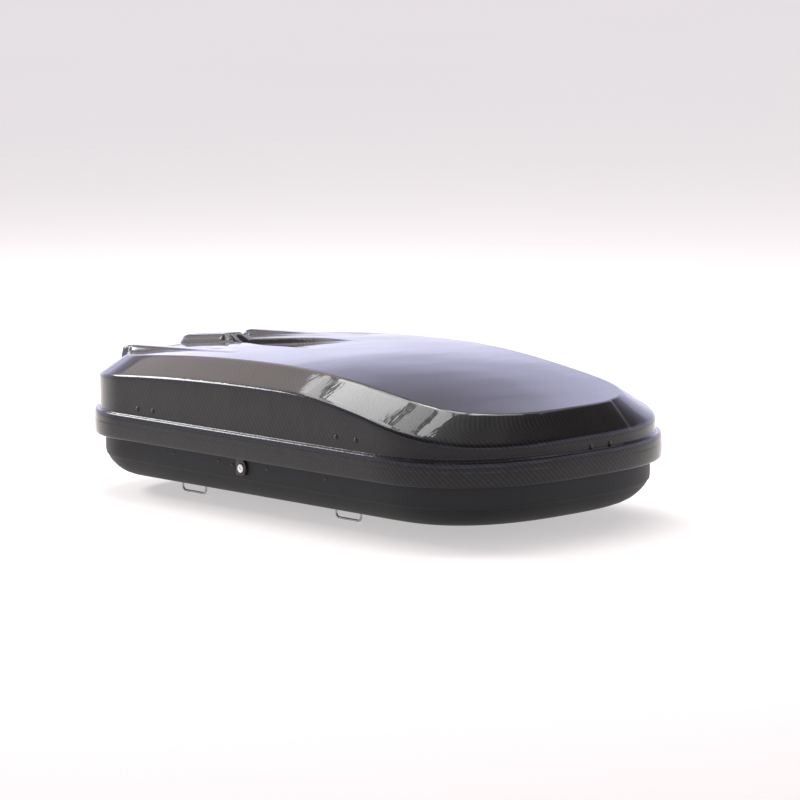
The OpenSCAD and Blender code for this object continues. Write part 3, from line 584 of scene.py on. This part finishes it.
for bar in ("tail", "nose"):
    for side in ("right", "left"):
        softened("plate_%s_%s" % (bar, side), "plate", "clamp_%s_%s" % (bar, side))
        for number in (1, 2):
            softened("knob_%s_%s_%d" % (bar, side, number), "knob", "knob_%s_%s_%d" % (bar, side, number))
softened("lock_escutcheon", "escutcheon", "base")
for end in ("tail", "nose"):
    softened(end + "_catch", "catch", "lid")
    softened(end + "_lid_bracket", "bracket", "lid")
softened("lid_edge_rail", "rail", "lid")
softened("lid_screws", "screw", "lid")
print("fittings softened")


# stage
stage = {"size": 120.0, "under": 0.5, "light": "#cfcac6", "dark": "#cac5c1", "glow": "#f6f4f2", "glowStrength": 0.52}
bpy.ops.object.select_all(action="DESELECT")
bpy.ops.mesh.primitive_plane_add(size=stage["size"], location=(0, 0, cadBox[0][2] - mm(stage["under"])))
floor = bpy.context.active_object
floor.name = "studioFloor"
paper, paperTree, paperShader = startMaterial("paintedStudioFloor", {
    "Roughness": 0.85, "Specular IOR Level": 0.1,
    "Emission Color": srgb(stage["glow"]), "Emission Strength": stage["glowStrength"]})
paperPlace = addNode(paperTree, "ShaderNodeTexCoord", {})
paperTone = addNode(paperTree, "ShaderNodeTexNoise", {"Scale": 0.6, "Detail": 2.0},
                    {"Vector": paperPlace.outputs["Object"]})
paperMix = addNode(paperTree, "ShaderNodeValToRGB", {}, {"Fac": paperTone.outputs["Fac"]})
setBands(paperMix, [(0.2, srgb(stage["dark"])), (0.8, srgb(stage["light"]))])
paperTree.links.new(paperMix.outputs["Color"], paperShader.inputs["Base Color"])
floor.data.materials.append(paper)

# sky of the studio: pale lavender walls low down, a grey-brown band above them and a paler ceiling, all patchy
sky = {"bands": [(0.0, "#ececff"), (0.3, "#dcdcff"), (0.46, "#5d5655"), (0.8, "#716a69"), (1.0, "#aaa8aa")],
       "patches": [(0.35, "#a6a3a3"), (0.65, "#ffffff")], "patchiness": 0.8, "strength": 2.25}
world = bpy.data.worlds.new("studio")
scene.world = world
world.use_nodes = True
skyTree = world.node_tree
skyPlace = addNode(skyTree, "ShaderNodeTexCoord", {})
skySplit = addNode(skyTree, "ShaderNodeSeparateXYZ", {}, {"Vector": skyPlace.outputs["Generated"]})
skyBands = addNode(skyTree, "ShaderNodeValToRGB", {}, {"Fac": skySplit.outputs["Z"]})
setBands(skyBands, [(place, srgb(colour)) for place, colour in sky["bands"]])
skyPatches = addNode(skyTree, "ShaderNodeTexNoise", {"Scale": 7.0, "Detail": 4.0},
                     {"Vector": skyPlace.outputs["Generated"]})
skyTones = addNode(skyTree, "ShaderNodeValToRGB", {}, {"Fac": skyPatches.outputs["Fac"]})
setBands(skyTones, [(place, srgb(colour)) for place, colour in sky["patches"]])
skyMix = addNode(skyTree, "ShaderNodeMix", {"data_type": "RGBA", "blend_type": "MULTIPLY", 0: sky["patchiness"]},
                 {6: skyBands.outputs["Color"], 7: skyTones.outputs["Color"]})
skyTree.links.new(skyMix.outputs[2], skyTree.nodes["Background"].inputs["Color"])
skyTree.nodes["Background"].inputs["Strength"].default_value = sky["strength"]

softBoxes = {"rear": {"place": (-3.4, 1.1, 2.7), "aim": (-0.3, -0.3, 0.2), "size": (2.4, 1.5), "power": 13.0},
             "tail": {"place": (-4.4, -1.5, 3.1), "aim": (0.0, -0.2, 0.2), "size": (3.0, 1.0), "power": 190.0},
             "key": {"place": (2.6, -4.6, 3.4), "aim": (0.0, 0.0, 0.1), "size": (2.6, 1.4), "power": 10.0}}
# overhead tubes, side by side and unevenly bright, that break the shine on the bevels into upright streaks
tubeBank = {"start": (-2.1, 0.15, 3.3), "end": (1.14, 2.97, 3.3), "size": (2.8, 0.29),
            "powers": (11, 19, 12, 22, 14, 21, 10, 7, 11, 5, 9, 4, 7)}
warmLight = {"rear": "#f7e9e6"}


def areaLight(name, place, turn, size, power):
    bpy.ops.object.light_add(type="AREA", location=place)
    lamp = bpy.context.active_object
    lamp.name = name + "SoftBox"
    lamp.data.shape = "RECTANGLE"
    lamp.data.size, lamp.data.size_y = size
    lamp.data.energy = power
    lamp.data.color = srgb(warmLight.get(name, "#ffffff"))[:3]
    lamp.rotation_euler = turn


for name, box in softBoxes.items():
    ray = Vector(box["aim"]) - Vector(box["place"])
    areaLight(name, box["place"], ray.to_track_quat("-Z", "Y").to_euler(), box["size"], box["power"])
bankRun = Vector(tubeBank["end"]) - Vector(tubeBank["start"])
bankTurn = math.atan2(bankRun.y, bankRun.x) + math.radians(90)  # the tubes lie across the bank's run
for number, power in enumerate(tubeBank["powers"]):
    place = Vector(tubeBank["start"]) + bankRun * number / (len(tubeBank["powers"]) - 1)
    areaLight("tube%d" % number, place, (0.0, 0.0, bankTurn), tubeBank["size"], power)
print("stage and lights set")


# camera
eye = {"place": (8.1227, -7.3874, 1.8416), "turn": 47.4208, "tilt": 81.5764, "roll": -0.6582,
       "lens": 201.653, "sensor": 36.0, "reach": 400.0}
lens = bpy.data.cameras.new("camera")
camera = bpy.data.objects.new("camera", lens)
scene.collection.objects.link(camera)
lens.sensor_width = eye["sensor"]
lens.lens = eye["lens"]
lens.clip_end = eye["reach"]
camera.location = eye["place"]
turn, tilt, roll = (Matrix.Rotation(math.radians(eye[part]), 4, axis)
                    for part, axis in (("turn", "Z"), ("tilt", "X"), ("roll", "Z")))
camera.rotation_euler = (turn @ tilt @ roll).to_euler()
scene.camera = camera
scene.view_settings.view_transform = "Standard"
